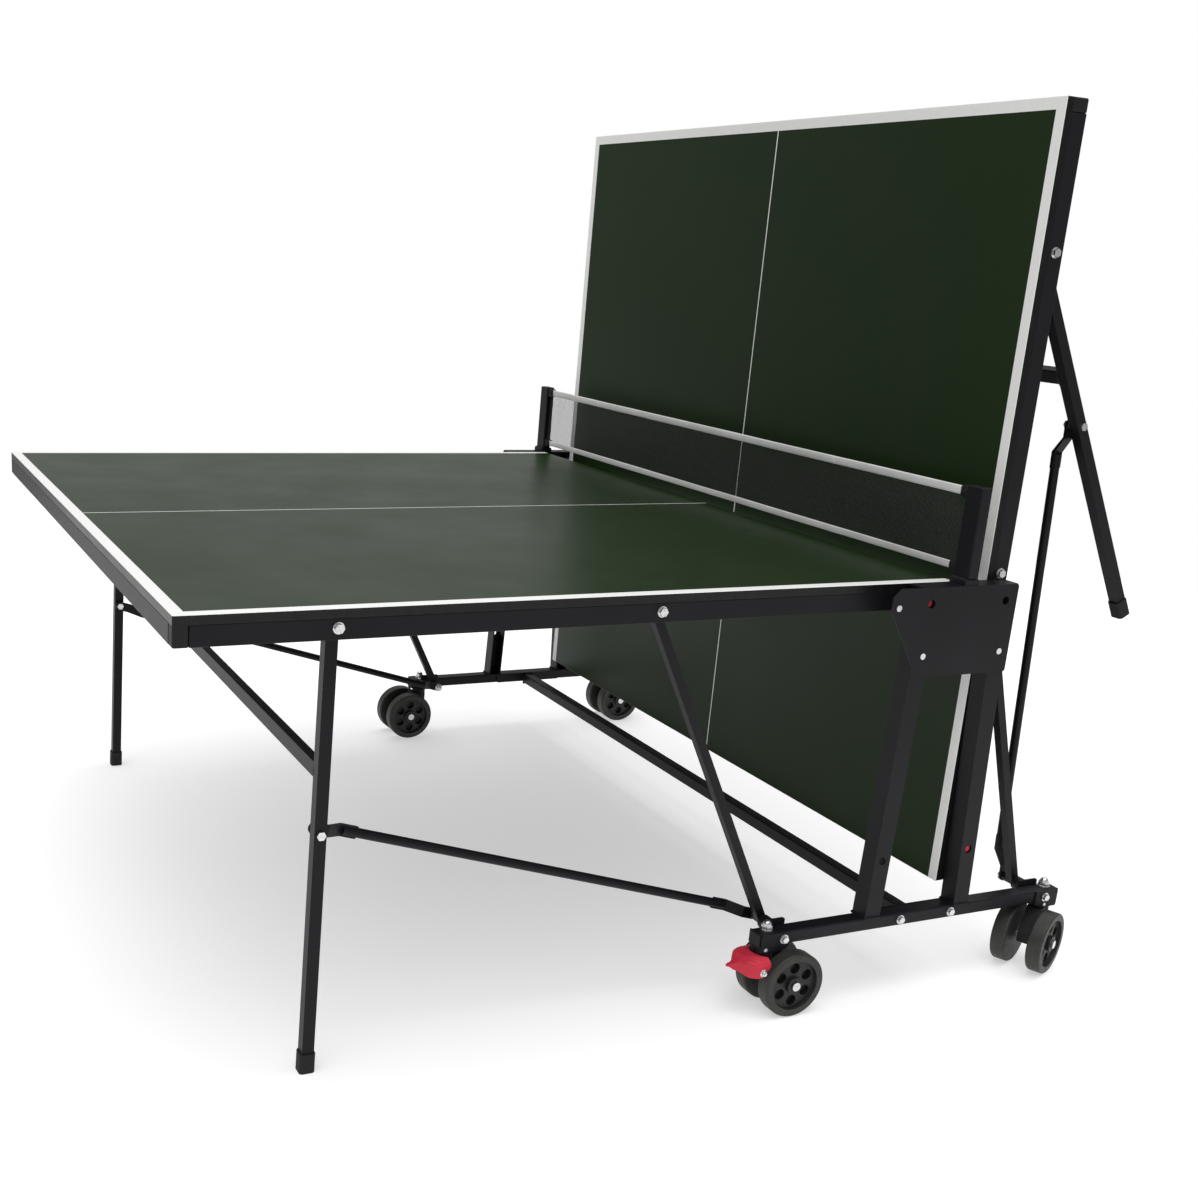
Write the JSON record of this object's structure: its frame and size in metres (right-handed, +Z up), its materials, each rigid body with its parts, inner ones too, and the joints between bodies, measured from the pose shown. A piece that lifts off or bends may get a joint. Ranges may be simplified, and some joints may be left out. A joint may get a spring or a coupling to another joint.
{
  "type": "folding table tennis table",
  "caption": "Roll-away table tennis table whose two halves fold up beside the net, one down for play and one folded up.",
  "frame": {"origin": "centre of the footprint's bounding box, on the floor", "axes": "+X along the length of play towards the folded half, +Y across the table away from the brake on the near side, +Z up"},
  "size_m": [1.8348, 1.7002, 1.55],
  "materials": {
    "board_green": "satin painted board with white lines",
    "frame_black": "semi-gloss powder coat",
    "plastic_black": "moulded",
    "rubber_black": "matt",
    "wheel_grey": "moulded, satin",
    "zinc": "zinc plated",
    "red_plastic": "moulded, satin",
    "net_fabric": "open knotless netting",
    "tape_white": "woven tape"
  },
  "bodies": {
    "base": {"near_base_rail": "frame_black", "far_base_rail": "frame_black", "base_rail_caps": "plastic_black", "near_uprights": "frame_black", "far_uprights": "frame_black", "near_side_plate": "frame_black", "far_side_plate": "frame_black", "cross_beam": "frame_black", "beam_brackets": "frame_black", "pivot_brackets": "frame_black", "frame_fasteners": "zinc", "caster_brackets": "frame_black", "kingpins": "zinc", "near_net_post": "frame_black", "far_net_post": "frame_black", "net_mesh": "net_fabric", "net_top_tape": "tape_white", "net_bottom_tape": "tape_white"},
    "left_rollers": {"left_guide_rollers": "plastic_black", "left_lock_pins": "red_plastic"},
    "left_top": {"left_board": "board_green", "left_side_rails": "frame_black", "left_end_rails": "frame_black", "left_cross_rails": "frame_black", "left_corner_caps": "plastic_black", "left_pivot_bolts": "zinc"},
    "left_struts_body": {"left_struts": "frame_black"},
    "left_leg_frame": {"left_legs": "frame_black", "left_leg_bar": "frame_black", "left_feet": "rubber_black", "left_rod_bolts": "zinc"},
    "left_rods_body": {"left_tie_rods": "frame_black"},
    "right_rollers": {"right_guide_rollers": "plastic_black", "right_lock_pins": "red_plastic"},
    "right_top": {"right_board": "board_green", "right_side_rails": "frame_black", "right_end_rails": "frame_black", "right_cross_rails": "frame_black", "right_corner_caps": "plastic_black", "right_pivot_bolts": "zinc"},
    "right_struts_body": {"right_struts": "frame_black"},
    "right_leg_frame": {"right_legs": "frame_black", "right_leg_bar": "frame_black", "right_feet": "rubber_black", "right_rod_bolts": "zinc"},
    "right_rods_body": {"right_tie_rods": "frame_black"},
    "near_left_caster": {"near_left_fork": "plastic_black", "near_left_axle": "zinc"},
    "near_left_wheel_pair": {"near_left_wheels": "wheel_grey"},
    "near_left_brake": {"near_left_pedal": "red_plastic"},
    "near_right_caster": {"near_right_fork": "plastic_black", "near_right_axle": "zinc"},
    "near_right_wheel_pair": {"near_right_wheels": "wheel_grey"},
    "far_left_caster": {"far_left_fork": "plastic_black", "far_left_axle": "zinc"},
    "far_left_wheel_pair": {"far_left_wheels": "wheel_grey"},
    "far_right_caster": {"far_right_fork": "plastic_black", "far_right_axle": "zinc"},
    "far_right_wheel_pair": {"far_right_wheels": "wheel_grey"},
    "far_right_brake": {"far_right_pedal": "red_plastic"}
  },
  "joints": [
    {"name": "left_track_slide", "type": "slide", "parent": "base", "child": "left_rollers", "axis": [-0.0362, 0, -0.9993], "range_m": [0, 0.46931]},
    {"name": "left_fold", "type": "hinge", "parent": "left_rollers", "child": "left_top", "pos_m": [0.37057, 0.01562, 0.731], "axis": [0, 1, 0], "range_deg": [0, 90]},
    {"name": "left_strut_swing", "type": "hinge", "parent": "left_top", "child": "left_struts_body", "pos_m": [-0.13743, 0.01562, 0.731], "axis": [0, 1, 0], "range_deg": [-45.83, 0]},
    {"name": "left_leg_swing", "type": "hinge", "parent": "left_top", "child": "left_leg_frame", "pos_m": [-0.67743, 0.01562, 0.731], "axis": [0, 1, 0], "range_deg": [-62.11, 0]},
    {"name": "left_rod_swing", "type": "hinge", "parent": "left_leg_frame", "child": "left_rods_body", "pos_m": [-0.68371, 0.01562, 0.40306], "axis": [0, 1, 0], "range_deg": [0, 47.57]},
    {"name": "right_track_slide", "type": "slide", "parent": "base", "child": "right_rollers", "axis": [-0.0362, 0, 0.9993], "range_m": [0, 0.46931]},
    {"name": "right_fold", "type": "hinge", "parent": "right_rollers", "child": "right_top", "pos_m": [0.55157, 0.01562, 0.262], "axis": [0, 1, 0], "range_deg": [0, 90]},
    {"name": "right_strut_swing", "type": "hinge", "parent": "right_top", "child": "right_struts_body", "pos_m": [0.55157, 0.01562, 0.77], "axis": [0, 1, 0], "range_deg": [-45.83, 0]},
    {"name": "right_leg_swing", "type": "hinge", "parent": "right_top", "child": "right_leg_frame", "pos_m": [0.55157, 0.01562, 1.31], "axis": [0, 1, 0], "range_deg": [-62.11, 0]},
    {"name": "right_rod_swing", "type": "hinge", "parent": "right_leg_frame", "child": "right_rods_body", "pos_m": [0.71055, 0.01562, 1.0231], "axis": [0, 1, 0], "range_deg": [0, 47.57]},
    {"name": "near_left_swivel", "type": "hinge", "parent": "base", "child": "near_left_caster", "pos_m": [0.13257, -0.76688, 0.11], "axis": [0, 0, 1], "continuous": true},
    {"name": "near_left_roll", "type": "hinge", "parent": "near_left_caster", "child": "near_left_wheel_pair", "pos_m": [0.17257, -0.76688, 0.06], "axis": [0, 1, 0], "continuous": true},
    {"name": "near_left_brake_press", "type": "hinge", "parent": "near_left_caster", "child": "near_left_brake", "pos_m": [0.11057, -0.76688, 0.088], "axis": [0, -1, 0], "range_deg": [0, 12]},
    {"name": "near_right_swivel", "type": "hinge", "parent": "base", "child": "near_right_caster", "pos_m": [0.77757, -0.76688, 0.11], "axis": [0, 0, 1], "continuous": true},
    {"name": "near_right_roll", "type": "hinge", "parent": "near_right_caster", "child": "near_right_wheel_pair", "pos_m": [0.74103, -0.78315, 0.06], "axis": [0.4067, -0.9135, 0], "continuous": true},
    {"name": "far_left_swivel", "type": "hinge", "parent": "base", "child": "far_left_caster", "pos_m": [0.13257, 0.79812, 0.11], "axis": [0, 0, 1], "continuous": true},
    {"name": "far_left_roll", "type": "hinge", "parent": "far_left_caster", "child": "far_left_wheel_pair", "pos_m": [0.09257, 0.79812, 0.06], "axis": [0, -1, 0], "continuous": true},
    {"name": "far_right_swivel", "type": "hinge", "parent": "base", "child": "far_right_caster", "pos_m": [0.77757, 0.79812, 0.11], "axis": [0, 0, 1], "continuous": true},
    {"name": "far_right_roll", "type": "hinge", "parent": "far_right_caster", "child": "far_right_wheel_pair", "pos_m": [0.73757, 0.79812, 0.06], "axis": [0, -1, 0], "continuous": true},
    {"name": "far_right_brake_press", "type": "hinge", "parent": "far_right_caster", "child": "far_right_brake", "pos_m": [0.79957, 0.79812, 0.088], "axis": [0, 1, 0], "range_deg": [0, 12]}
  ],
  "couplings": [
    {"joint": "left_track_slide", "follows": "left_fold", "m_per_rad": 0.29877},
    {"joint": "left_strut_swing", "follows": "left_fold", "ratio": -0.50918},
    {"joint": "left_leg_swing", "follows": "left_fold", "ratio": -0.69006},
    {"joint": "left_rod_swing", "follows": "left_fold", "ratio": 0.52851},
    {"joint": "right_track_slide", "follows": "right_fold", "m_per_rad": 0.29877},
    {"joint": "right_strut_swing", "follows": "right_fold", "ratio": -0.50918},
    {"joint": "right_leg_swing", "follows": "right_fold", "ratio": -0.69006},
    {"joint": "right_rod_swing", "follows": "right_fold", "ratio": 0.52851}
  ]
}
